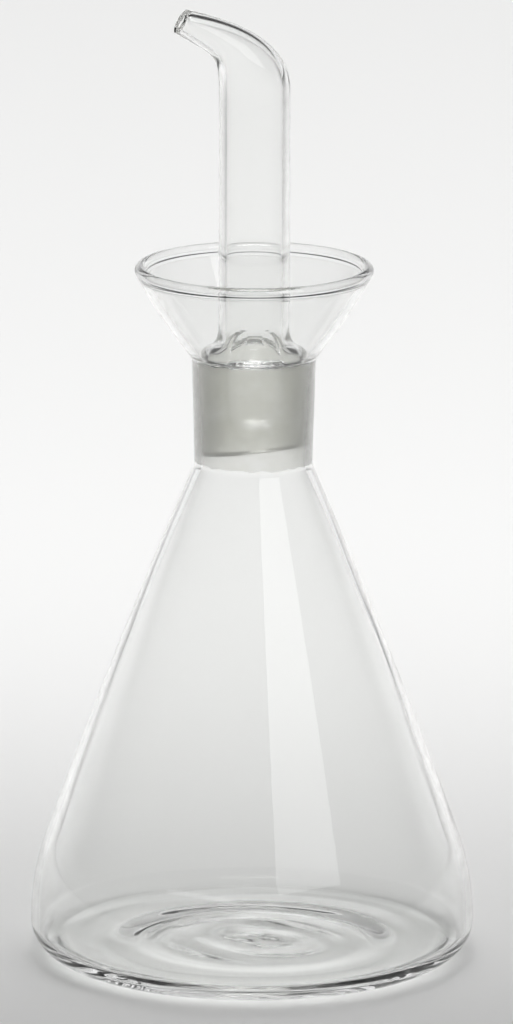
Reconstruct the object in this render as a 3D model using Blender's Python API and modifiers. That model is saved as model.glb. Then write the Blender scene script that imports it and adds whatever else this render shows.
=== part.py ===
"""A glass oil cruet: a conical flask with a funnel mouth, and the ground pouring stopper that closes it.

Metres, +Z up. The origin is on the flask's axis, in the plane of its foot. The spout points to -X.
"""

import math

import bmesh
import bpy
from mathutils import Vector

MM = 0.001

# The flask's outside, in millimetres

BODY_RADIUS = 52.5
BELLY_Z = 8.85
HEEL_WIDTH = 10.5
SHOULDER_RADIUS = 60.5
WALL_BOW = 0.72

NECK_FOOT_Z = 119.0
NECK_FOOT_RADIUS = 13.9
NECK_TOP_Z = 144.5
NECK_TOP_RADIUS = 14.6
NECK_FILLET = 4.0

RIM_RADIUS = 28.05
RIM_Z = 165.5
RIM_BEAD = 1.37
FUNNEL_BOW = 0.45

# The flask's inside

WALL = 1.7
FUNNEL_WALL = 1.65
INNER_HEEL_WIDTH = 9.0
INNER_HEEL_RISE = 6.0
FLOOR_Z = 4.0
FLOOR_SWELL = ((0.0, 0.5), (18.0, 0.1), (32.0, -0.2))

BORE_FOOT_Z = 117.0
BORE_FOOT_FILLET = 3.0
BORE_TOP_FILLET = 2.0

# The foot ring and the punt inside it, each point a radius and a height

FOOT_INNER_RADIUS = 35.0
PUNT = ((33.0, 0.7), (18.0, 1.3), (0.0, 1.6))

# The hollow ground plug

GROUND_TOP_Z = 145.5
PLUG_TOP_RADIUS = 12.75
PLUG_FOOT_Z = 119.0
PLUG_FOOT_RADIUS = 11.74
PLUG_WALL = 1.8
PLUG_DOME_RISE = 4.2
JOINT_GAP = 0.3

PLUG_CUT_Z = 122.6
PLUG_CUT_TO_RIGHT = 0.082
PLUG_CUT_TO_FRONT = 0.145

DENT_AZIMUTH_DEG = -101.0
DENT_Z = 141.5
DENT_HALF_WIDTH = 6.8
DENT_HALF_HEIGHT = 11.5
DENT_DEPTH = 3.0

# The tube and its bend: a cubic Bezier curve from BEND_START_Z on the axis to the tip

TUBE_RADIUS = 8.35
TUBE_WALL = 1.75

BEND_START_Z = 207.6
BEND_RISE = 5.5
TIP_X = -20.5
TIP_Z = 226.2
TIP_TANGENT = 17.8
TIP_SLOPE_DEG = 15.0
BEND_RADII = (TUBE_RADIUS, 9.45, 3.75, 2.95)
TIP_WALL = 1.3
TIP_CUT = (-17.85, 225.7)
TIP_CUT_DEG = 153.4

# How finely the round forms are divided

FLASK_SIDES = 56
TUBE_SIDES = 36
WALL_STEPS = 6
SIDE_STEPS = 4
FUNNEL_STEPS = 3
FILLET_STEPS = 3
HEEL_STEPS = 8
BEAD_STEPS = 10
PLUG_STEPS = 7
DOME_STEPS = 5
BEND_STEPS = 14

# Spare length that the cuts take off, the cutters' size, and the distance under which points are merged

SPARE = 2.0
CUTTER_SIZE = 30.0
MERGE = 0.01


def clear_scene():
    """Removes what the startup file brings."""
    for thing in list(bpy.data.objects):
        bpy.data.objects.remove(thing)


def new_collection(name):
    """A collection linked to the scene."""
    made = bpy.data.collections.new(name)
    bpy.context.scene.collection.children.link(made)
    return made


def glass(name, colour, roughness):
    """Clear blown glass, on a Principled BSDF."""
    material = bpy.data.materials.new(name)
    material.use_nodes = True
    shader = material.node_tree.nodes["Principled BSDF"]
    shader.inputs["Base Color"].default_value = (*colour, 1)
    shader.inputs["Roughness"].default_value = roughness
    shader.inputs["Metallic"].default_value = 0
    shader.inputs["IOR"].default_value = 1.47
    shader.inputs["Transmission Weight"].default_value = 1
    return material


def arc(centre, across, up, start_deg, end_deg, steps):
    """Points on an ellipse's arc, from one angle to the other, both ends included."""
    angles = [math.radians(start_deg + (end_deg - start_deg) * i / steps) for i in range(steps + 1)]
    return [(centre[0] + across * math.cos(a), centre[1] + up * math.sin(a)) for a in angles]


def bowed(start, end, bow, steps):
    """Points between two ends of a wall that swells away from the axis; the ends are left out."""
    start, end = Vector(start), Vector(end)
    along = end - start
    outward = Vector((abs(along.y), -math.copysign(1, along.y) * along.x)).normalized()
    points = []
    for i in range(1, steps):
        t = i / steps
        points.append(tuple(start + along * t + outward * (4 * bow * t * (1 - t))))
    return points


def tangent_deg(point, centre, radius, below=False):
    """The angle on a circle where the straight outer wall from a point above it, or below it, meets it."""
    dx, dz = point[0] - centre[0], point[1] - centre[1]
    swing = math.acos(radius / math.hypot(dx, dz))
    return math.degrees(math.atan2(dz, dx) + (swing if below else -swing))


def on_circle(centre, radius, deg):
    """The point of a circle at an angle."""
    return (centre[0] + radius * math.cos(math.radians(deg)), centre[1] + radius * math.sin(math.radians(deg)))


def fillet(before, corner, after, radius):
    """Points of the arc that rounds a corner of an outline."""
    corner = Vector(corner)
    to_before = (Vector(before) - corner).normalized()
    to_after = (Vector(after) - corner).normalized()
    half = to_before.angle(to_after) / 2
    middle = (to_before + to_after).normalized()
    centre = corner + middle * (radius / math.sin(half))
    first = corner + to_before * (radius / math.tan(half)) - centre
    last = corner + to_after * (radius / math.tan(half)) - centre
    turned = first.angle(last)
    points = []
    for i in range(FILLET_STEPS + 1):
        share = i / FILLET_STEPS
        spoke = (first * math.sin((1 - share) * turned) + last * math.sin(share * turned)) / math.sin(turned)
        points.append(tuple(centre + spoke))
    return points


def plug_radius(z):
    """The outer radius of the ground plug, a straight taper."""
    share = (z - PLUG_FOOT_Z) / (GROUND_TOP_Z - PLUG_FOOT_Z)
    return PLUG_FOOT_RADIUS + (PLUG_TOP_RADIUS - PLUG_FOOT_RADIUS) * share


def dent(angle, radius, z):
    """How far a point of the stopper's wall is pressed in by the drip dent on its front."""
    turn = (angle - math.radians(DENT_AZIMUTH_DEG) + math.pi) % (2 * math.pi) - math.pi
    far = abs(turn * radius / DENT_HALF_WIDTH) ** 3 + abs((z - DENT_Z) / DENT_HALF_HEIGHT) ** 3
    return DENT_DEPTH * (1 - far) ** 2 * (1 + 2 * far) if far < 1 else 0


def flask_profile():
    """The flask's section, from the floor's middle up the inside, over the rim and down the outside."""
    side = (BODY_RADIUS - SHOULDER_RADIUS, BELLY_Z)
    inner_side = SHOULDER_RADIUS - WALL
    bore_foot = (plug_radius(NECK_FOOT_Z) + JOINT_GAP, BORE_FOOT_Z)
    bore_top = (PLUG_TOP_RADIUS + JOINT_GAP, GROUND_TOP_Z)
    neck_foot = (NECK_FOOT_RADIUS, NECK_FOOT_Z)
    neck_top = (NECK_TOP_RADIUS, NECK_TOP_Z)

    bead = (RIM_RADIUS - RIM_BEAD, RIM_Z)
    lip_deg = tangent_deg(neck_top, bead, RIM_BEAD, below=True)
    inner_lip_deg = lip_deg + 180 + math.degrees(math.acos((FUNNEL_WALL - RIM_BEAD) / RIM_BEAD))
    lip = on_circle(bead, RIM_BEAD, lip_deg)
    inner_lip = on_circle(bead, RIM_BEAD, inner_lip_deg)

    wall_deg = tangent_deg(neck_foot, side, SHOULDER_RADIUS)
    inner_wall_deg = tangent_deg(bore_foot, side, inner_side)
    inner_heel = (BODY_RADIUS - WALL - INNER_HEEL_WIDTH, FLOOR_Z + INNER_HEEL_RISE)
    inner_belly_deg = math.degrees(math.asin((inner_heel[1] - BELLY_Z) / inner_side))

    inside = [(radius, FLOOR_Z + swell) for radius, swell in FLOOR_SWELL]
    inside += arc(inner_heel, INNER_HEEL_WIDTH, INNER_HEEL_RISE, -90, 0, HEEL_STEPS - 1)
    inside += arc(side, inner_side, inner_side, inner_belly_deg, inner_wall_deg, SIDE_STEPS)[1:]
    bore_foot_arc = fillet(inside[-1], bore_foot, bore_top, BORE_FOOT_FILLET)
    bore_top_arc = fillet(bore_foot, bore_top, inner_lip, BORE_TOP_FILLET)
    inside += bowed(inside[-1], bore_foot_arc[0], WALL_BOW, WALL_STEPS) + bore_foot_arc
    inside += bore_top_arc + bowed(bore_top_arc[-1], inner_lip, FUNNEL_BOW, FUNNEL_STEPS)

    rim = arc(bead, RIM_BEAD, RIM_BEAD, inner_lip_deg, lip_deg, BEAD_STEPS)

    shoulder = arc(side, SHOULDER_RADIUS, SHOULDER_RADIUS, wall_deg, 0, SIDE_STEPS)
    neck_top_arc = fillet(lip, neck_top, neck_foot, NECK_FILLET)
    neck_foot_arc = fillet(neck_top, neck_foot, shoulder[0], NECK_FILLET)
    outside = bowed(lip, neck_top_arc[0], FUNNEL_BOW, FUNNEL_STEPS) + neck_top_arc
    outside += neck_foot_arc + bowed(neck_foot_arc[-1], shoulder[0], WALL_BOW, WALL_STEPS) + shoulder[:-1]
    heel = (BODY_RADIUS - HEEL_WIDTH, BELLY_Z)
    outside += arc(heel, HEEL_WIDTH, BELLY_Z, 0, -90, HEEL_STEPS)

    base = [(FOOT_INNER_RADIUS, 0)] + list(PUNT)
    return inside + rim + outside + base


def turned(name, profile, sides, collection):
    """A body of revolution: the profile as a mesh line, turned about Z by a Screw modifier."""
    mesh = bpy.data.meshes.new(name)
    points = [(r * MM, 0, z * MM) for r, z in profile]
    mesh.from_pydata(points, [(i, i + 1) for i in range(len(points) - 1)], [])
    body = bpy.data.objects.new(name, mesh)
    collection.objects.link(body)
    screw = body.modifiers.new("turn", "SCREW")
    screw.axis = "Z"
    screw.steps = screw.render_steps = sides
    screw.use_merge_vertices = True
    screw.merge_threshold = MERGE * MM
    screw.use_smooth_shade = True
    return body


def spout_path():
    """Centre points and outer radii of the bend, a cubic Bezier curve that starts up the axis and ends at the tip."""
    slope = math.radians(TIP_SLOPE_DEG)
    start = Vector((0, BEND_START_Z, BEND_RADII[0]))
    start_hand = Vector((0, BEND_START_Z + BEND_RISE, BEND_RADII[1]))
    tip = Vector((TIP_X, TIP_Z, BEND_RADII[3]))
    tip_hand = tip + TIP_TANGENT * Vector((math.cos(slope), -math.sin(slope), 0))
    tip_hand.z = BEND_RADII[2]
    path = []
    for i in range(BEND_STEPS + 1):
        t = i / BEND_STEPS
        u = 1 - t
        point = u**3 * start + 3 * u * u * t * start_hand + 3 * u * t * t * tip_hand + t**3 * tip
        path.append(tuple(point))
    return path


def weld(mesh):
    """Joins the caps of a mesh that came from a curve."""
    work = bmesh.new()
    work.from_mesh(mesh)
    bmesh.ops.remove_doubles(work, verts=work.verts, dist=MERGE * MM)
    bmesh.ops.recalc_face_normals(work, faces=work.faces)
    work.to_mesh(mesh)
    work.free()


def press_dent(mesh):
    """Moves the wall's points towards the axis by the depth of the drip dent."""
    for vertex in mesh.vertices:
        radius = math.hypot(vertex.co.x, vertex.co.y)
        if radius > MERGE * MM:
            angle = math.atan2(vertex.co.y, vertex.co.x)
            depth = dent(angle, radius / MM, vertex.co.z / MM) * MM
            vertex.co.x *= 1 - depth / radius
            vertex.co.y *= 1 - depth / radius


def swept(name, path, collection):
    """A closed mesh body along a path of (x, z, radius) in the spout's plane, made from a bevelled curve."""
    curve = bpy.data.curves.new(name, "CURVE")
    curve.dimensions = "3D"
    curve.bevel_depth = MM
    curve.bevel_resolution = (TUBE_SIDES - 4) // 2
    curve.use_fill_caps = True
    curve.twist_mode = "MINIMUM"
    spline = curve.splines.new("POLY")
    spline.points.add(len(path) - 1)
    for point, (x, z, radius) in zip(spline.points, path):
        point.co = (x * MM, 0, z * MM, 1)
        point.radius = radius
    line = bpy.data.objects.new(name + "_line", curve)
    collection.objects.link(line)
    graph = bpy.context.evaluated_depsgraph_get()
    mesh = bpy.data.meshes.new_from_object(line.evaluated_get(graph))
    bpy.data.objects.remove(line)
    mesh.name = name
    body = bpy.data.objects.new(name, mesh)
    collection.objects.link(body)
    weld(mesh)
    press_dent(mesh)
    return body


def plug_dome(rise, from_radius, to_radius):
    """Rings of the plug's rounded top, a quarter of an ellipse that ends on the tube's wall."""
    points = arc((to_radius, GROUND_TOP_Z), from_radius - to_radius, rise, 0, 90, DOME_STEPS)
    return [(0, z, r) for r, z in points]


def cut_away(body, cutter):
    """Cuts one body out of another with an exact Boolean."""
    cutter.hide_render = True
    cutter.display_type = "WIRE"
    cut = body.modifiers.new(cutter.name, "BOOLEAN")
    cut.operation = "DIFFERENCE"
    cut.object = cutter


def block_cutter(name, point, normal, collection):
    """A block with one face through the point, lying on the side that the normal points away from."""
    size = CUTTER_SIZE * MM
    bpy.ops.mesh.primitive_cube_add(size=size)
    block = bpy.context.object
    block.name = name
    for owner in list(block.users_collection):
        owner.objects.unlink(block)
    collection.objects.link(block)
    normal = Vector(normal).normalized()
    block.rotation_mode = "QUATERNION"
    block.rotation_quaternion = normal.to_track_quat("Z", "Y")
    block.location = Vector(point) * MM - normal * size / 2
    return block


def build_flask(parts, material):
    """The flask, neck and funnel, blown as one piece."""
    flask = turned("flask", flask_profile(), FLASK_SIDES, parts)
    flask.data.materials.append(material)


def build_stopper(parts, cutters, material):
    """The hollow ground plug, drawn out at its top into the bent spout."""
    levels = [PLUG_FOOT_Z + (GROUND_TOP_Z - PLUG_FOOT_Z) * i / PLUG_STEPS for i in range(PLUG_STEPS)]
    dent_top = DENT_Z + DENT_HALF_HEIGHT
    bend = spout_path()
    end = Vector(bend[-1][:2])
    ahead = (end - Vector(bend[-2][:2])).normalized() * SPARE

    outer = [(0, z, plug_radius(z)) for z in levels]
    outer += plug_dome(PLUG_DOME_RISE, PLUG_TOP_RADIUS, TUBE_RADIUS)
    outer += [(0, dent_top, TUBE_RADIUS)] + bend
    outer.append((*(end + ahead), BEND_RADII[-1]))
    stopper = swept("pouring_stopper", outer, parts)

    bore = [(0, z, plug_radius(z) - PLUG_WALL) for z in [PLUG_FOOT_Z - SPARE] + levels]
    bore += plug_dome(PLUG_DOME_RISE - TUBE_WALL, PLUG_TOP_RADIUS - PLUG_WALL, TUBE_RADIUS - TUBE_WALL)
    bore.append((0, dent_top, TUBE_RADIUS - TUBE_WALL))
    for i, (x, z, radius) in enumerate(bend):
        share = i / BEND_STEPS
        bore.append((x, z, radius - TUBE_WALL - (TIP_WALL - TUBE_WALL) * share))
    bore.append((*(end + 2 * ahead), BEND_RADII[-1] - TIP_WALL))
    cut_away(stopper, swept("stopper_bore", bore, cutters))

    foot_normal = (-PLUG_CUT_TO_RIGHT, PLUG_CUT_TO_FRONT, 1)
    cut_away(stopper, block_cutter("plug_foot_cutter", (0, 0, PLUG_CUT_Z), foot_normal, cutters))
    outward = math.radians(TIP_CUT_DEG)
    tip_normal = (-math.cos(outward), 0, -math.sin(outward))
    cut_away(stopper, block_cutter("tip_cutter", (TIP_CUT[0], 0, TIP_CUT[1]), tip_normal, cutters))
    stopper.data.materials.append(material)
    stopper.data.shade_smooth()


def main():
    clear_scene()
    parts = new_collection("glass_cruet")
    cutters = new_collection("cutters")
    build_flask(parts, glass("flask_glass", (0.97, 0.985, 0.98), 0.0))
    build_stopper(parts, cutters, glass("stopper_glass", (0.96, 0.975, 0.965), 0.1))


main()
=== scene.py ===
"""The looks of a glass oil cruet: a blown conical flask with a funnel mouth, and the ground
pouring stopper that rests in its neck.

Metres, +Z up. Lengths that are named in millimetres are turned into metres where the meshes are made.
"""

import bpy
import numpy as np
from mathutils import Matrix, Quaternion, Vector


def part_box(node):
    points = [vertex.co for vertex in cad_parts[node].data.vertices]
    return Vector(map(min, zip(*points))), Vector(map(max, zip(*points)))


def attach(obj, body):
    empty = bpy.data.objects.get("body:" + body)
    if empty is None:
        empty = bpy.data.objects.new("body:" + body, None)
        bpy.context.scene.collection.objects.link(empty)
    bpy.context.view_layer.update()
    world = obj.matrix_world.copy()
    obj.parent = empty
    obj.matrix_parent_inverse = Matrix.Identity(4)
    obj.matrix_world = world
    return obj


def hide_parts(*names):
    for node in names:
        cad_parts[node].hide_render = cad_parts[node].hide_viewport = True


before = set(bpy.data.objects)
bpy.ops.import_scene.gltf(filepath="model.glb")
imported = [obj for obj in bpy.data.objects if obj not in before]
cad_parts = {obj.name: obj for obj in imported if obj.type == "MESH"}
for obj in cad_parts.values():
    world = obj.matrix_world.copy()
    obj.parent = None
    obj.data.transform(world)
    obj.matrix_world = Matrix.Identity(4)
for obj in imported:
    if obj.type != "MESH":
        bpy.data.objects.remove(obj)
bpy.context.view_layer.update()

# The flask
# Clear borosilicate glass, blown in a turning mould: a wide cone with a rounded heel, a short neck and
# a funnel that is fire-polished to a bead at its rim. Its wall is even but never quite true, so light
# swims in it a little.

MM = 0.001
flask_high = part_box("flask")[1]
BODY_RADIUS = flask_high.x / MM
RIM_TOP = flask_high.z / MM

BELLY_Z = 8.85
HEEL_WIDTH = 10.5
SHOULDER_RADIUS = 60.5
WALL_BOW = 0.72
NECK_FOOT = (13.9, 119.0)
NECK_TOP = (14.6, 144.5)
NECK_FILLET = 4.0
RIM_RADIUS = 28.05
RIM_BEAD = 1.37
FUNNEL_BOW = 0.45

WALL = 1.7
FUNNEL_WALL = 1.65
FLOOR_Z = 4.0
INNER_HEEL = (5.0, 4.5)
BORE_FOOT = (12.03, 118.7)
BORE_TOP = (13.05, 145.5)
BORE_FOOT_FILLET = 5.5
BORE_TOP_FILLET = 2.0
FOOT_MIDDLE_RADIUS = 38.5
FOOT_INNER_RADIUS = 35.0
FOOT_EDGE = 9.0
PUNT_STEP = 0.9
PUNT_RISE = 1.6

FLASK_SIDES = 256
FLOOR_ROWS = 45
HEEL_STEPS = 24
SIDE_STEPS = 20
WALL_STEPS = 40
FILLET_STEPS = 8
BORE_STEPS = 20
FUNNEL_STEPS = 20
BEAD_STEPS = 18
NECK_STEPS = 12
FOOT_EDGE_ROWS = 12
PUNT_ROWS = 36


def arc(centre, across, up, start, end, steps):
    """Points on an ellipse: centre plus (across * cos a, up * sin a), a going evenly from start to end."""
    angle = np.radians(np.linspace(start, end, steps + 1))
    return np.column_stack([centre[0] + across * np.cos(angle), centre[1] + up * np.sin(angle)])


def bowed(start, end, bow, steps):
    """A wall between two points, both left out: 4 * bow * t * (1 - t) proud of straight at the share t."""
    start, end = np.asarray(start), np.asarray(end)
    share = np.arange(1, steps)[:, None] / steps
    run = end - start
    outward = np.array([abs(run[1]), -np.sign(run[1]) * run[0]]) / np.hypot(*run)
    return start + run * share + outward * 4 * bow * share * (1 - share)


def tangent_angle(point, centre, radius, side):
    """Where the line from a point touches a circle: the point's bearing, swung by acos(radius / away)."""
    away = np.subtract(point, centre)
    return np.degrees(np.arctan2(away[1], away[0]) + side * np.arccos(radius / np.hypot(*away)))


def rounded(before, corner, after, radius, steps):
    """The arc that touches both legs of a corner: its spokes turn evenly from one leg to the other."""
    legs = [np.subtract(before, corner), np.subtract(after, corner)]
    legs = [leg / np.hypot(*leg) for leg in legs]
    half = np.arccos(np.dot(*legs)) / 2
    middle = (legs[0] + legs[1]) / np.hypot(*(legs[0] + legs[1]))
    centre = np.asarray(corner) + middle * radius / np.sin(half)
    first, last = [corner + leg * radius / np.tan(half) - centre for leg in legs]
    turn = np.pi - 2 * half
    share = np.linspace(0, 1, steps + 1)[:, None]
    return centre + (first * np.sin((1 - share) * turn) + last * np.sin(share * turn)) / np.sin(turn)


side_centre = (BODY_RADIUS - SHOULDER_RADIUS, BELLY_Z)
inner_side = SHOULDER_RADIUS - WALL
bead_centre = (RIM_RADIUS - RIM_BEAD, RIM_TOP - RIM_BEAD)
lip_angle = tangent_angle(NECK_TOP, bead_centre, RIM_BEAD, 1)
inner_lip_angle = lip_angle + 180 + np.degrees(np.arccos((FUNNEL_WALL - RIM_BEAD) / RIM_BEAD))
wall_angle = tangent_angle(NECK_FOOT, side_centre, SHOULDER_RADIUS, -1)
inner_wall_angle = tangent_angle(BORE_FOOT, side_centre, inner_side, -1)
inner_heel_centre = (BODY_RADIUS - WALL - INNER_HEEL[0], FLOOR_Z + INNER_HEEL[1])
inner_belly_angle = np.degrees(np.arcsin((inner_heel_centre[1] - BELLY_Z) / inner_side))

rim_bead = arc(bead_centre, RIM_BEAD, RIM_BEAD, inner_lip_angle, lip_angle, BEAD_STEPS)
inner_side_arc = arc(side_centre, inner_side, inner_side, inner_belly_angle, inner_wall_angle, SIDE_STEPS)
bore_foot_arc = rounded(inner_side_arc[-1], BORE_FOOT, BORE_TOP, BORE_FOOT_FILLET, FILLET_STEPS)
bore_top_arc = rounded(BORE_FOOT, BORE_TOP, rim_bead[0], BORE_TOP_FILLET, FILLET_STEPS)
neck_top_arc = rounded(rim_bead[-1], NECK_TOP, NECK_FOOT, NECK_FILLET, FILLET_STEPS)
side_arc = arc(side_centre, SHOULDER_RADIUS, SHOULDER_RADIUS, wall_angle, 0, SIDE_STEPS)
neck_foot_arc = rounded(NECK_TOP, NECK_FOOT, side_arc[0], NECK_FILLET, FILLET_STEPS)

floor_radius = np.linspace(0, inner_heel_centre[0], FLOOR_ROWS)[:-1]
floor_line = np.column_stack([floor_radius, FLOOR_Z + 0 * floor_radius])
punt_radius = np.linspace(FOOT_INNER_RADIUS - FOOT_EDGE, 0, PUNT_ROWS)
punt_height = PUNT_STEP + (PUNT_RISE - PUNT_STEP) * (1 - punt_radius / FOOT_INNER_RADIUS)
punt_line = np.column_stack([punt_radius, punt_height])
foot_edge = np.column_stack([
    FOOT_INNER_RADIUS - FOOT_EDGE * np.linspace(0, 1, FOOT_EDGE_ROWS)[1:-1],
    punt_line[0, 1] * np.sin(np.linspace(0, np.pi / 2, FOOT_EDGE_ROWS)[1:-1]) ** 2,
])

flask_profile = np.vstack([
    floor_line,
    arc(inner_heel_centre, *INNER_HEEL, -90, 0, HEEL_STEPS),
    inner_side_arc[1:],
    bowed(inner_side_arc[-1], bore_foot_arc[0], WALL_BOW, WALL_STEPS),
    bore_foot_arc,
    bowed(bore_foot_arc[-1], bore_top_arc[0], 0, BORE_STEPS),
    bore_top_arc,
    bowed(bore_top_arc[-1], rim_bead[0], FUNNEL_BOW, FUNNEL_STEPS),
    rim_bead,
    bowed(rim_bead[-1], neck_top_arc[0], FUNNEL_BOW, FUNNEL_STEPS),
    neck_top_arc,
    bowed(neck_top_arc[-1], neck_foot_arc[0], 0, NECK_STEPS),
    neck_foot_arc,
    bowed(neck_foot_arc[-1], side_arc[0], WALL_BOW, WALL_STEPS),
    side_arc[:-1],
    arc((BODY_RADIUS - HEEL_WIDTH, BELLY_Z), HEEL_WIDTH, BELLY_Z, 0, -90, HEEL_STEPS),
    [(FOOT_MIDDLE_RADIUS, 0), (FOOT_INNER_RADIUS, 0)],
    foot_edge,
    punt_line,
])


def turned_surface(profile, sides):
    """A profile turned about Z: x = r cos a, y = r sin a, with a in even steps; arrays of rows by sides."""
    angle = np.linspace(0, 2 * np.pi, sides, endpoint=False)
    radius, height = profile[:, :1], profile[:, 1:]
    return radius * np.cos(angle), radius * np.sin(angle), height + 0 * angle


def grid_faces(rows, sides):
    """Quads between neighbouring rows of a grid whose columns close on themselves."""
    first = np.arange(rows - 1)[:, None] * sides + np.arange(sides)
    following = np.roll(first, -1, axis=1)
    return np.stack([first, following, following + sides, first + sides], axis=-1).reshape(-1, 4)


def mesh_from(name, points, quads, triangles, material):
    """A smooth mesh object from arrays of points, quads and triangles; it sits at the origin."""
    mesh = bpy.data.meshes.new(name)
    corners = np.concatenate([quads.ravel(), triangles.ravel()])
    sizes = np.concatenate([np.full(len(quads), 4), np.full(len(triangles), 3)])
    mesh.vertices.add(len(points))
    mesh.vertices.foreach_set("co", points.ravel())
    mesh.loops.add(len(corners))
    mesh.loops.foreach_set("vertex_index", corners)
    mesh.polygons.add(len(sizes))
    mesh.polygons.foreach_set("loop_start", np.concatenate([[0], np.cumsum(sizes)[:-1]]))
    mesh.polygons.foreach_set("loop_total", sizes)
    mesh.update(calc_edges=True)
    mesh.validate()
    mesh.shade_smooth()
    mesh.materials.append(material)
    piece = bpy.data.objects.new(name, mesh)
    bpy.context.scene.collection.objects.link(piece)
    return piece


def pole_fan(pole, ring, sides):
    """Triangles from a pole's point to a ring's points; ring is the number of the ring's first point."""
    first = ring + np.arange(sides)
    return np.column_stack([np.full(sides, pole), first, np.roll(first, -1)])


def ripple(x, y, z, waves):
    """A sum of sine waves, each an amount times sin(x, y and z over its three lengths, plus its phase)."""
    return sum(size * np.sin(x / a + y / b + z / c + phase) for size, a, b, c, phase in waves)


x, y, z = turned_surface(flask_profile, FLASK_SIDES)
radius = np.hypot(x, y)
rows = np.arange(len(flask_profile))

# The pressed floor: rings that the turning mould and the tool leave, a little off centre and of uneven
# depth. A ring's height is depth * cos(away / length), so its pitch is 2 pi times the length
RING_CENTRE = (1.5, -1.0)
RINGS_UP_HEEL = 12
FLOOR_RING_DEPTH = 0.15
FLOOR_RING_LENGTH = 2.6
FLOOR_RING_SWAY = 0.5
FLOOR_RING_END = 46
FLOOR_RING_FADE = 14
FLOOR_HUB = 4
FLOOR_SWELL = 0.5
FLOOR_SWELL_RADIUS = 20
PUNT_RING_DEPTH = 0.10
PUNT_RING_LENGTH = 3.4
PUNT_LINE_DEPTH = 0.05
PUNT_LINE_LENGTH = 1.3
PUNT_RING_END = 33
PUNT_RING_FADE = 10

floor_rows = (rows < len(floor_line) + RINGS_UP_HEEL)[:, None]
punt_rows = (rows >= len(flask_profile) - len(punt_line))[:, None]
away = np.hypot(x - RING_CENTRE[0], y - RING_CENTRE[1])
bearing = np.arctan2(y - RING_CENTRE[1], x - RING_CENTRE[0])
unevenness = 1 + 0.5 * np.sin(2 * bearing + 0.7) + 0.3 * np.sin(3 * bearing - 1.1)
floor_rings = np.cos(away / FLOOR_RING_LENGTH + FLOOR_RING_SWAY * np.sin(bearing)) * unevenness
fade = np.clip((FLOOR_RING_END - away) / FLOOR_RING_FADE, 0, 1) * np.clip(away / FLOOR_HUB, 0, 1)
swell = FLOOR_SWELL * np.clip(1 - away / FLOOR_SWELL_RADIUS, 0, 1) ** 2
z = z + floor_rows * (FLOOR_RING_DEPTH * floor_rings * fade + swell)
punt_rings = PUNT_RING_DEPTH * np.cos(away / PUNT_RING_LENGTH + 1.0)
punt_lines = PUNT_LINE_DEPTH * np.cos(away / PUNT_LINE_LENGTH + 2 * np.sin(2 * bearing + 0.4))
punt_fade = np.clip((PUNT_RING_END - away) / PUNT_RING_FADE, 0, 1)
z = z + punt_rows * (punt_rings + punt_lines) * punt_fade

# The inner wall swims a little in and out, from the floor's edge to the top of the bore. The ripple is
# in millimetres, and inside the least radius it fades towards the axis
WALL_RIPPLE = ((0.03, 9.0, -14.0, 21.0, 0.4), (0.02, -6.5, 8.0, 13.0, 2.1), (0.015, 4.1, 5.3, -9.0, 4.0))
INNER_WALL_ROWS = 110
LEAST_RIPPLE_RADIUS = 10

inner_rows = ((rows >= len(floor_line)) & (rows < len(floor_line) + INNER_WALL_ROWS))[:, None]
widened = 1 + inner_rows * ripple(x, y, z, WALL_RIPPLE) / np.maximum(radius, LEAST_RIPPLE_RADIUS)

# The profile's first and last points are poles, each one point with a fan of triangles to the next ring
points = np.stack([x * widened, y * widened, z], axis=-1)[1:-1].reshape(-1, 3)
poles = np.array([[0, 0, z[0].mean()], [0, 0, z[-1].mean()]])
points = np.vstack([points, poles]) * MM
body_quads = grid_faces(len(flask_profile) - 2, FLASK_SIDES)[:, ::-1]
last_ring = (len(flask_profile) - 3) * FLASK_SIDES
caps = np.vstack([
    pole_fan(len(points) - 2, 0, FLASK_SIDES),
    pole_fan(len(points) - 1, last_ring, FLASK_SIDES)[:, ::-1],
])

# Ground glass: where the grinding ends wanders a little, its whiteness lies in clouds, its roughness in
# patches, and its grain is fine. Scales are in noise cells to the metre, and the wander is in metres
EDGE_WANDER = 0.0016
EDGE_WANDER_SCALE = 260
CLOUD_SCALE = 170
CLOUD_GAIN = 1.8
CLOUD_LEAST = 0.1
PATCH_SCALE = 90
PATCH_DETAIL = 3
PATCH_AMOUNT = 0.12
GRAIN_SCALE = 2600

# A Mix node has a set of sockets for each kind of value, and these are the ones for colours
COLOUR_A = 6
COLOUR_B = 7
MIXED_COLOUR = 2


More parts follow.
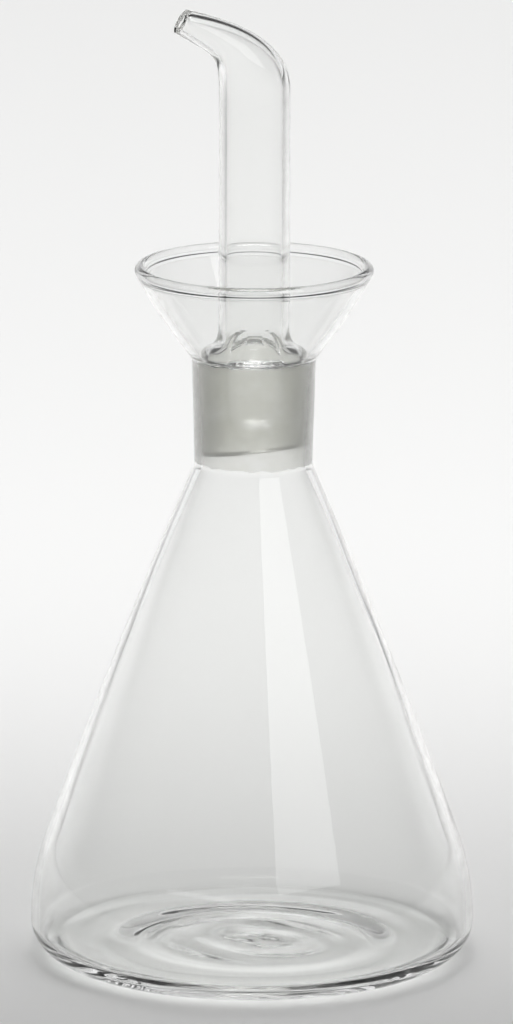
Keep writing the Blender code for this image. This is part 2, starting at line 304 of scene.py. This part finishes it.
def ground_glass_group():
    """A ground zone between two heights and two radii: its colour, its roughness and its grain's height."""
    group = bpy.data.node_groups.new("ground_glass", "ShaderNodeTree")
    for title, kind, default in (
        ("Foot Height", "NodeSocketFloat", 0.12),
        ("Top Height", "NodeSocketFloat", 0.145),
        ("Least Radius", "NodeSocketFloat", -1.0),
        ("Greatest Radius", "NodeSocketFloat", 1.0),
        ("Taper", "NodeSocketFloat", 0.0),
        ("Edge", "NodeSocketFloat", 0.0005),
        ("Depth Edge", "NodeSocketFloat", 0.0003),
        ("Clear Colour", "NodeSocketColor", (1, 1, 1, 1)),
        ("Ground Colour", "NodeSocketColor", (0.9, 0.9, 0.9, 1)),
        ("Clear Roughness", "NodeSocketFloat", 0.0),
        ("Ground Roughness", "NodeSocketFloat", 0.5),
    ):
        socket = group.interface.new_socket(title, in_out="INPUT", socket_type=kind)
        socket.default_value = default
    group.interface.new_socket("Colour", in_out="OUTPUT", socket_type="NodeSocketColor")
    group.interface.new_socket("Roughness", in_out="OUTPUT", socket_type="NodeSocketFloat")
    group.interface.new_socket("Height", in_out="OUTPUT", socket_type="NodeSocketFloat")
    nodes, links = group.nodes, group.links
    source = nodes.new("NodeGroupInput").outputs
    result = nodes.new("NodeGroupOutput").inputs
    place = nodes.new("ShaderNodeTexCoord").outputs["Object"]

    def maths(operation, first, second, clamp=False):
        node = nodes.new("ShaderNodeMath")
        node.operation = operation
        node.use_clamp = clamp
        for socket, value in zip(node.inputs, (first, second)):
            if isinstance(value, (int, float)):
                socket.default_value = value
            else:
                links.new(value, socket)
        return node.outputs[0]

    def noise(scale, detail=2):
        node = nodes.new("ShaderNodeTexNoise")
        node.inputs["Scale"].default_value = scale
        node.inputs["Detail"].default_value = detail
        links.new(place, node.inputs["Vector"])
        return node.outputs["Fac"]

    def above(value, limit, edge):
        return maths("DIVIDE", maths("SUBTRACT", value, limit), edge, clamp=True)

    flat = nodes.new("ShaderNodeVectorMath")
    flat.operation = "MULTIPLY"
    flat.inputs[1].default_value = (1, 1, 0)
    links.new(place, flat.inputs[0])
    length = nodes.new("ShaderNodeVectorMath")
    length.operation = "LENGTH"
    links.new(flat.outputs[0], length.inputs[0])
    away_from_axis = length.outputs["Value"]
    parts = nodes.new("ShaderNodeSeparateXYZ")
    links.new(place, parts.inputs[0])
    wandering = maths("MULTIPLY", maths("SUBTRACT", noise(EDGE_WANDER_SCALE), 0.5), EDGE_WANDER)
    height = maths("ADD", parts.outputs["Z"], wandering)

    # The grinding reaches only what stands at the taper's own radius, so a dent in it stays clear
    above_foot = maths("SUBTRACT", parts.outputs["Z"], source["Foot Height"])
    straight = maths("SUBTRACT", away_from_axis, maths("MULTIPLY", above_foot, source["Taper"]))
    over_foot = above(height, source["Foot Height"], source["Edge"])
    under_top = above(source["Top Height"], height, source["Edge"])
    outside_least = above(straight, source["Least Radius"], source["Depth Edge"])
    inside_greatest = above(source["Greatest Radius"], straight, source["Depth Edge"])
    band = maths("MULTIPLY", over_foot, under_top)
    mask = maths("MULTIPLY", band, maths("MULTIPLY", outside_least, inside_greatest))

    cloudy = maths("ADD", maths("MULTIPLY", noise(CLOUD_SCALE), CLOUD_GAIN), CLOUD_LEAST)
    colour = nodes.new("ShaderNodeMix")
    colour.data_type = "RGBA"
    links.new(maths("MULTIPLY", mask, cloudy, clamp=True), colour.inputs["Factor"])
    links.new(source["Clear Colour"], colour.inputs[COLOUR_A])
    links.new(source["Ground Colour"], colour.inputs[COLOUR_B])
    links.new(colour.outputs[MIXED_COLOUR], result["Colour"])

    patches = maths("SUBTRACT", noise(PATCH_SCALE, PATCH_DETAIL), 0.5)
    ground_rough = maths("ADD", source["Ground Roughness"], maths("MULTIPLY", patches, PATCH_AMOUNT))
    step = maths("MULTIPLY", mask, maths("SUBTRACT", ground_rough, source["Clear Roughness"]))
    links.new(maths("ADD", source["Clear Roughness"], step), result["Roughness"])
    links.new(maths("MULTIPLY", noise(GRAIN_SCALE), mask), result["Height"])
    return group


ground_glass = ground_glass_group()

GLASS_IOR = 1.47
CLEAR_GLASS = (0.985, 0.988, 0.984, 1)
FACE_ON_SHADOW = (0.965, 0.968, 0.965, 1)
EDGE_ON_SHADOW = (0.05, 0.05, 0.05, 1)
EDGE_ON_POWER = 5.0
GRAIN_STRENGTH = 0.3
GRAIN_DEPTH = 0.00005


def glass(name, zone):
    """Clear glass with one ground zone; shadow rays pass it, dimmed more the steeper it stands to them."""
    material = bpy.data.materials.new(name)
    material.use_nodes = True
    nodes, links = material.node_tree.nodes, material.node_tree.links
    shader = nodes["Principled BSDF"]
    shader.inputs["Metallic"].default_value = 0
    shader.inputs["Transmission Weight"].default_value = 1
    shader.inputs["IOR"].default_value = GLASS_IOR

    ground = nodes.new("ShaderNodeGroup")
    ground.node_tree = ground_glass
    for title, value in zone.items():
        ground.inputs[title].default_value = value
    links.new(ground.outputs["Colour"], shader.inputs["Base Color"])
    links.new(ground.outputs["Roughness"], shader.inputs["Roughness"])
    bump = nodes.new("ShaderNodeBump")
    bump.inputs["Strength"].default_value = GRAIN_STRENGTH
    bump.inputs["Distance"].default_value = GRAIN_DEPTH
    links.new(ground.outputs["Height"], bump.inputs["Height"])
    links.new(bump.outputs["Normal"], shader.inputs["Normal"])

    edge_on = nodes.new("ShaderNodeLayerWeight")
    steep = nodes.new("ShaderNodeMath")
    steep.operation = "POWER"
    steep.inputs[1].default_value = EDGE_ON_POWER
    shade = nodes.new("ShaderNodeMix")
    shade.data_type = "RGBA"
    shade.inputs[COLOUR_A].default_value = FACE_ON_SHADOW
    shade.inputs[COLOUR_B].default_value = EDGE_ON_SHADOW
    clear = nodes.new("ShaderNodeBsdfTransparent")
    links.new(edge_on.outputs["Facing"], steep.inputs[0])
    links.new(steep.outputs[0], shade.inputs["Factor"])
    links.new(shade.outputs[MIXED_COLOUR], clear.inputs["Color"])
    path = nodes.new("ShaderNodeLightPath")
    either = nodes.new("ShaderNodeMixShader")
    links.new(path.outputs["Is Shadow Ray"], either.inputs[0])
    links.new(shader.outputs[0], either.inputs[1])
    links.new(clear.outputs[0], either.inputs[2])
    links.new(either.outputs[0], nodes["Material Output"].inputs["Surface"])
    return material


flask_glass = glass("flask_glass", {
    "Foot Height": 0.1195,
    "Top Height": 0.1452,
    "Greatest Radius": 0.0136,
    "Clear Colour": CLEAR_GLASS,
    "Ground Colour": (0.8, 0.8, 0.757, 1),
    "Ground Roughness": 0.5,
})
flask = mesh_from("blown_flask", points, body_quads, caps, flask_glass)
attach(flask, "root")
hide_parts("flask")

# The pouring stopper
# One piece of clear drawn tube. Its foot is blown out and ground to a taper that sits in the neck, and
# its mouth is cut aslant. Its head is bent over and drawn down to a narrow lip, and a drip dent is
# pressed into its front.

stopper_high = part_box("pouring_stopper")[1]
PLUG_FOOT = (11.74, 119.0)
PLUG_TOP = (12.75, 145.5)
PLUG_WALL = 1.8
SHOULDER_RISE = 2.1
FLARE_FOOT = 0.9
FLARE_RISE = 7.0
INNER_DROP = 1.3
PLUG_CUT = (122.6, 0.082, -0.145)
TUBE_RADIUS = 8.35
TUBE_WALL = 1.75
TIP_WALL = 1.3
BEND_FOOT_Z = 196.0
TIP_Z = stopper_high.z / MM - 0.1
BEND_OUTER = ((TUBE_RADIUS, 206.57), (TUBE_RADIUS, 212.4), (8.5, 222.1), (-16.2, TIP_Z))
BEND_INNER = ((-TUBE_RADIUS, 203.43), (-TUBE_RADIUS, 218.6), (-8.37, 215.9), (-19.2, 222.95))

STOPPER_SIDES = 160
PLUG_RINGS = 30
FLARE_RINGS = 28
TUBE_RINGS = 60
STEM_RINGS = 8
SPOUT_RINGS = 60
LIP_STEPS = 8


def bezier(corners, steps):
    """A cubic Bezier curve: the four corners weighted by u^3, 3u^2t, 3ut^2 and t^3, with u = 1 - t."""
    t = np.linspace(0, 1, steps)[:, None]
    u = 1 - t
    a, b, c, d = (np.asarray(corner) for corner in corners)
    return u**3 * a + 3 * u * u * t * b + 3 * u * t * t * c + t**3 * d


def round_sections(left, right, sides):
    """Circles between two rails in the spout's plane: the line from rail to rail is each one's diameter."""
    angle = np.linspace(0, 2 * np.pi, sides, endpoint=False)
    middle = (left + right) / 2
    spoke = (right - left) / 2
    deep = np.hypot(spoke[:, :1], spoke[:, 1:])
    across = middle[:, :1] + spoke[:, :1] * np.cos(angle)
    up = middle[:, 1:] + spoke[:, 1:] * np.cos(angle)
    return np.stack([across, deep * np.sin(angle), up], axis=-1)


def upright_rails(radius, height):
    """The two rails of round sections that lie level on the axis."""
    return np.column_stack([-radius, height]), np.column_stack([radius, height])


def cut_share(height):
    """How much of the cut's slant a level takes: all at the plug's foot, evenly down to none at its top."""
    return np.clip((PLUG_TOP[1] - height) / (PLUG_TOP[1] - PLUG_CUT[0]), 0, 1)


def tapered(height):
    """The plug's radius, a straight line from its foot to its top."""
    return np.interp(height, [PLUG_FOOT[1], PLUG_TOP[1]], [PLUG_FOOT[0], PLUG_TOP[0]])


def stopper_wall(inset, drop):
    """Rings of the stopper's wall from the plug's foot to the tip. The inside is set in by the walls'
    thickness, which runs evenly from the tube's to the tip's along the spout, and its flare sits lower."""
    plug_end = PLUG_TOP[1] - drop
    plug_z = np.linspace(PLUG_CUT[0], plug_end, PLUG_RINGS)[:-1]
    plug = upright_rails(tapered(plug_z) - inset, plug_z)
    wide, narrow = PLUG_TOP[0] - inset, TUBE_RADIUS - (TUBE_WALL if inset else 0)
    flare = bezier((
        (wide, plug_end),
        (wide, plug_end + SHOULDER_RISE),
        (narrow, plug_end + FLARE_FOOT),
        (narrow, plug_end + FLARE_RISE),
    ), FLARE_RINGS)
    dome = upright_rails(flare[:, 0], flare[:, 1])
    tube_z = np.linspace(flare[-1, 1], BEND_FOOT_Z, TUBE_RINGS)[1:-1]
    tube = upright_rails(np.full(len(tube_z), narrow), tube_z)

    outer, inner = bezier(BEND_OUTER, SPOUT_RINGS), bezier(BEND_INNER, SPOUT_RINGS)
    stem_outer = np.linspace((TUBE_RADIUS, BEND_FOOT_Z), outer[0], STEM_RINGS)[:-1]
    stem_inner = np.linspace((-TUBE_RADIUS, BEND_FOOT_Z), inner[0], STEM_RINGS)[:-1]
    outer, inner = np.vstack([stem_outer, outer]), np.vstack([stem_inner, inner])
    middle, spoke = (outer + inner) / 2, (outer - inner) / 2
    long = np.hypot(spoke[:, :1], spoke[:, 1:])
    share = np.clip((np.arange(len(outer))[:, None] - STEM_RINGS) / (SPOUT_RINGS - 2), 0, 1)
    thickness = (TUBE_WALL + (TIP_WALL - TUBE_WALL) * share) if inset else 0 * share
    thinner = spoke * (long - thickness) / long

    left = np.vstack([plug[0], dome[0], tube[0], middle - thinner])
    right = np.vstack([plug[1], dome[1], tube[1], middle + thinner])
    rings = round_sections(left, right, STOPPER_SIDES)
    slant = PLUG_CUT[1] * rings[..., 0] + PLUG_CUT[2] * rings[..., 1]
    rings[..., 2] += cut_share(rings[..., 2]) * slant
    return rings


def rolled_lip(outer_ring, inner_ring, steps):
    """The fire-polished edge between two rings: a half circle across the wall, out by half its width."""
    angle = np.linspace(0, np.pi, steps + 1)[1:-1, None, None]
    middle = (outer_ring + inner_ring) / 2
    half = (outer_ring - inner_ring) / 2
    along = np.cross(np.roll(outer_ring, -1, axis=0) - outer_ring, half)
    along /= np.linalg.norm(along, axis=1, keepdims=True)
    width = np.linalg.norm(half, axis=1, keepdims=True)
    return middle + half * np.cos(angle) + along * width * np.sin(angle)


outside = stopper_wall(0, 0)
inside = stopper_wall(PLUG_WALL, INNER_DROP)
tip_lip = rolled_lip(outside[-1], inside[-1], LIP_STEPS)
foot_lip = rolled_lip(inside[0], outside[0], LIP_STEPS)
rings = np.concatenate([outside, tip_lip, inside[::-1], foot_lip])

# The drip dent: far is the sum of the cubed shares of its half sizes. The wall is pushed in by its whole
# depth where far is under 1 - edge, and by depth * (3 s^2 - 2 s^3) round that, s falling from 1 to 0
DENT_BEARING = -101.0
DENT_Z = 141.5
DENT_HALF_WIDTH = 6.8
DENT_HALF_HEIGHT = 11.5
DENT_DEPTH = 3.0
DENT_EDGE = 0.6
x, y, z = rings[..., 0], rings[..., 1], rings[..., 2]
radius = np.maximum(np.hypot(x, y), 0.001)
turn = (np.arctan2(y, x) - np.radians(DENT_BEARING) + np.pi) % (2 * np.pi) - np.pi
far = np.abs(turn * radius / DENT_HALF_WIDTH) ** 3 + np.abs((z - DENT_Z) / DENT_HALF_HEIGHT) ** 3
slope = np.clip((1 - far) / DENT_EDGE, 0, 1)
push = DENT_DEPTH * slope * slope * (3 - 2 * slope)
rings[..., 0] = x * (1 - push / radius)
rings[..., 1] = y * (1 - push / radius)

# Outside, tip, inside and foot make one closed loop, so the last ring's faces run on to the first
stopper_points = rings.reshape(-1, 3) * MM
stopper_quads = grid_faces(len(rings) + 1, STOPPER_SIDES) % len(stopper_points)
no_triangles = np.zeros((0, 3), int)
stopper_glass = glass("stopper_glass", {
    "Foot Height": 0.1195,
    "Top Height": 0.1453,
    "Least Radius": 0.0113,
    "Taper": 0.038,
    "Clear Colour": CLEAR_GLASS,
    "Ground Colour": (0.88, 0.88, 0.838, 1),
    "Ground Roughness": 0.5,
})
stopper = mesh_from("drawn_stopper", stopper_points, stopper_quads, no_triangles, stopper_glass)
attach(stopper, "root")
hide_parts("pouring_stopper")

# The table
# A plain pale matt sheet that runs far behind the cruet, so that the clear glass has an even ground to
# stand against. It lies a hair under the foot, so that the two never share a plane.

TABLE_RADIUS = 2.2
TABLE_GAP = 0.0003
TABLE_SIDES = 96
turns = np.linspace(0, 2 * np.pi, TABLE_SIDES, endpoint=False)
table_x, table_y = TABLE_RADIUS * np.cos(turns), TABLE_RADIUS * np.sin(turns)
table_points = np.column_stack([table_x, table_y, np.full(TABLE_SIDES, -TABLE_GAP)])
table_mesh = bpy.data.meshes.new("table")
table_mesh.from_pydata(table_points.tolist(), [], [list(range(TABLE_SIDES))])
table = bpy.data.objects.new("table", table_mesh)
bpy.context.scene.collection.objects.link(table)
table_matt = bpy.data.materials.new("table_matt")
table_matt.use_nodes = True
table_shader = table_matt.node_tree.nodes["Principled BSDF"]
table_shader.inputs["Base Color"].default_value = (0.8, 0.8, 0.795, 1)
table_shader.inputs["Roughness"].default_value = 0.9
table_shader.inputs["Specular IOR Level"].default_value = 0.1
table_mesh.materials.append(table_matt)

# The light
# A white tent, lit low down behind the table, dim at the sides and dark above. Four wide lamps light the
# table round the cruet. A box in front, a card to the left and two boxes overhead show in the glass, one
# of the two in its reflections alone.

CAMERA_BEARING = np.radians(-13.0)
BACK = (-np.sin(CAMERA_BEARING), np.cos(CAMERA_BEARING))

# The tent's grey is the product of two ramps, each given as pairs of a value from -1 to 1 and a grey: one
# over the height of a direction, which counts as lower before and behind the cruet, and one from in front
# of the cruet to behind it
TENT_BY_HEIGHT = ((-1, 1.0), (0.05, 1.0), (0.15, 0.05), (1, 0.04))
TENT_BY_SIDE = ((-1, 0.55), (0.0, 0.22), (0.35, 0.25), (0.75, 0.85), (1, 0.95))
DROP_AT_SIDES = 0.15

world = bpy.data.worlds.new("soft_tent")
bpy.context.scene.world = world
world.use_nodes = True
tent_nodes, tent_links = world.node_tree.nodes, world.node_tree.links
tent = tent_nodes["Background"]
direction = tent_nodes.new("ShaderNodeTexCoord")
split = tent_nodes.new("ShaderNodeSeparateXYZ")
rearward = tent_nodes.new("ShaderNodeVectorMath")
rearward.operation = "DOT_PRODUCT"
rearward.inputs[1].default_value = (*BACK, 0)
tent_links.new(direction.outputs["Generated"], split.inputs[0])
tent_links.new(direction.outputs["Generated"], rearward.inputs[0])


def greys(value, stops):
    """A ramp of greys over a value from -1 to 1; stops are pairs of value and grey."""
    share = tent_nodes.new("ShaderNodeMapRange")
    share.inputs["From Min"].default_value = -1
    tent_links.new(value, share.inputs["Value"])
    ramp = tent_nodes.new("ShaderNodeValToRGB")
    tent_links.new(share.outputs["Result"], ramp.inputs[0])
    while len(ramp.color_ramp.elements) < len(stops):
        ramp.color_ramp.elements.new(0.5)
    for element, (place, grey) in zip(ramp.color_ramp.elements, stops):
        element.position = (place + 1) / 2
        element.color = (grey, grey, grey, 1)
    return ramp.outputs["Color"]


along_view = tent_nodes.new("ShaderNodeMath")
along_view.operation = "MULTIPLY"
lowered = tent_nodes.new("ShaderNodeMath")
lowered.operation = "MULTIPLY_ADD"
lowered.inputs[1].default_value = -DROP_AT_SIDES
tent_links.new(rearward.outputs["Value"], along_view.inputs[0])
tent_links.new(rearward.outputs["Value"], along_view.inputs[1])
tent_links.new(along_view.outputs[0], lowered.inputs[0])
tent_links.new(split.outputs["Z"], lowered.inputs[2])
lit = tent_nodes.new("ShaderNodeMix")
lit.data_type = "RGBA"
lit.blend_type = "MULTIPLY"
lit.inputs["Factor"].default_value = 1
tent_links.new(greys(lowered.outputs[0], TENT_BY_HEIGHT), lit.inputs[COLOUR_A])
tent_links.new(greys(rearward.outputs["Value"], TENT_BY_SIDE), lit.inputs[COLOUR_B])
tent_links.new(lit.outputs[MIXED_COLOUR], tent.inputs["Color"])


def softbox(name, bearing, height, away, size, radiance, shows_in=()):
    """A soft light that faces the cruet: its bearing from the camera's side and its height in degrees,
    then how far off and how large it is in metres. shows_in says how the glass shows it, and one that
    is only reflected doesn't light the table."""
    turn, lift = CAMERA_BEARING + np.radians(bearing), np.radians(height)
    toward = Vector((np.sin(turn) * np.cos(lift), -np.cos(turn) * np.cos(lift), np.sin(lift)))
    lamp = bpy.data.lights.new(name, "AREA")
    lamp.shape = "RECTANGLE"
    lamp.size, lamp.size_y = size
    lamp.energy = radiance * np.pi * size[0] * size[1]
    holder = bpy.data.objects.new(name, lamp)
    holder.location = toward * away
    holder.rotation_euler = toward.to_track_quat("Z", "Y").to_euler()
    holder.visible_camera = False
    holder.visible_transmission = "transmission" in shows_in
    holder.visible_glossy = "glossy" in shows_in
    holder.visible_diffuse = "only reflected" not in shows_in
    bpy.context.scene.collection.objects.link(holder)
    return holder


TABLE_LAMP_Z = 0.6
TABLE_LAMP_SPREAD = np.radians(72)


def table_lamp(name, bearing, away, size, radiance):
    """A wide low lamp that looks straight down on the table, so many metres from the cruet at a bearing."""
    turn = CAMERA_BEARING + np.radians(bearing)
    lamp = softbox(name, 0, 90, TABLE_LAMP_Z, size, radiance)
    lamp.location = (np.sin(turn) * away, -np.cos(turn) * away, TABLE_LAMP_Z)
    lamp.rotation_euler = (0, 0, turn)
    lamp.data.spread = TABLE_LAMP_SPREAD


table_lamp("back_table_lamp", 180, 1.08, (1.2, 2.0), 0.9)
table_lamp("front_table_lamp", 0, 1.2, (1.8, 1.9), 0.46)
table_lamp("left_table_lamp", -90, 1.35, (2.2, 1.9), 0.42)
table_lamp("right_table_lamp", 90, 1.35, (2.2, 1.9), 0.42)
softbox("front_box", 32.5, 38, 2.4, (1.5, 1.5), 2.4, ("glossy",))
softbox("left_card", -29, 18.2, 2.4, (1.5, 0.08), 1.8, ("glossy",))
softbox("top_box", 0, 82, 2.0, (0.6, 0.6), 6.6, ("glossy", "transmission"))
softbox("top_reflection", 0, 76, 2.0, (0.7, 0.6), 7.5, ("glossy", "only reflected"))

# The camera
# A long lens, a little above the cruet and to its left, far enough off that the cruet's sides run almost
# true. One pixel of the photograph is a fixed length at the cruet, and that sets the lens.

CAMERA_HEIGHT = np.radians(13.1)
CAMERA_AWAY = 2.83
CAMERA_ROLL = np.radians(0.2)
AIM_Z = 0.1073
AIM_RIGHT = 0.00075
MM_PER_PIXEL = 0.2356
PHOTO_HEIGHT = 1024
GLASS_BOUNCES = 64

camera_data = bpy.data.cameras.new("camera")
camera_data.sensor_fit = "VERTICAL"
camera_data.sensor_height = 36
camera_data.lens = camera_data.sensor_height * CAMERA_AWAY / (PHOTO_HEIGHT * MM_PER_PIXEL * MM)
camera_data.clip_end = 100
camera = bpy.data.objects.new("camera", camera_data)
to_camera = Vector((
    np.sin(CAMERA_BEARING) * np.cos(CAMERA_HEIGHT),
    -np.cos(CAMERA_BEARING) * np.cos(CAMERA_HEIGHT),
    np.sin(CAMERA_HEIGHT),
))
aim = Vector((AIM_RIGHT * np.cos(CAMERA_BEARING), AIM_RIGHT * np.sin(CAMERA_BEARING), AIM_Z))
camera.location = aim + to_camera * CAMERA_AWAY
camera.rotation_mode = "QUATERNION"
camera.rotation_quaternion = to_camera.to_track_quat("Z", "Y") @ Quaternion((0, 0, 1), CAMERA_ROLL)
bpy.context.scene.collection.objects.link(camera)
bpy.context.scene.camera = camera

view = bpy.context.scene.view_settings
view.view_transform = "Standard"
view.look = "None"
cycles = bpy.context.scene.cycles
cycles.use_denoising = True
cycles.max_bounces = GLASS_BOUNCES
cycles.transmission_bounces = GLASS_BOUNCES
cycles.glossy_bounces = GLASS_BOUNCES
cycles.transparent_max_bounces = GLASS_BOUNCES
